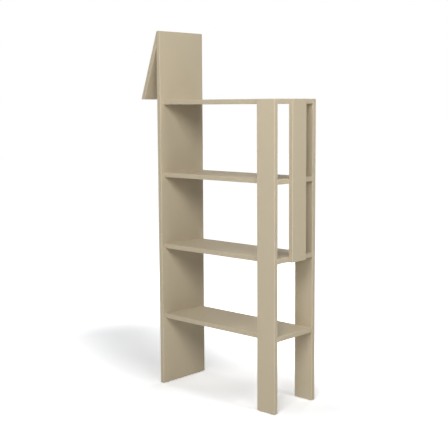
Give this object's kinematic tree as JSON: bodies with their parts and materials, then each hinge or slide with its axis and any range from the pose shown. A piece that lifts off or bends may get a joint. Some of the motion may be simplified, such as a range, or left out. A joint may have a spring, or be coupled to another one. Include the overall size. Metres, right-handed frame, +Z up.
{
  "type": "bookshelf",
  "caption": "Giraffe-shaped open bookshelf for a child's room: a tall neck panel with a slanted head flap, open shelves, a pair of legs and a tail slat.",
  "frame": {"origin": "on the floor, under the middle of the overall width and depth", "axes": "+X along the shelves from the neck to the tail, +Y from the front to the back, +Z up"},
  "size_m": [0.7092, 0.24, 1.412],
  "materials": {
    "painted_board": "fine satin lacquer in warm beige on fibreboard, colour is linear RGB",
    "cam_zinc": "die-cast zinc alloy",
    "bolt_steel": "bright zinc plate",
    "dowel_beech": "bare beech",
    "glide_nylon": "moulded nylon"
  },
  "bodies": {
    "root": {"neck_panel": "painted_board", "head_flap": "painted_board", "top_shelf": "painted_board", "upper_shelf": "painted_board", "lower_shelf": "painted_board", "bottom_shelf": "painted_board", "front_leg": "painted_board", "back_leg": "painted_board", "tail_slat": "painted_board", "neck_cam_locks": "cam_zinc", "neck_cam_bolts": "bolt_steel", "neck_dowels": "dowel_beech", "front_leg_cam_locks": "cam_zinc", "front_leg_cam_bolts": "bolt_steel", "front_leg_dowels": "dowel_beech", "back_leg_cam_locks": "cam_zinc", "back_leg_cam_bolts": "bolt_steel", "back_leg_dowels": "dowel_beech", "tail_cam_locks": "cam_zinc", "tail_cam_bolts": "bolt_steel", "tail_dowels": "dowel_beech", "head_dowels": "dowel_beech", "floor_glides": "glide_nylon"}
  },
  "joints": []
}
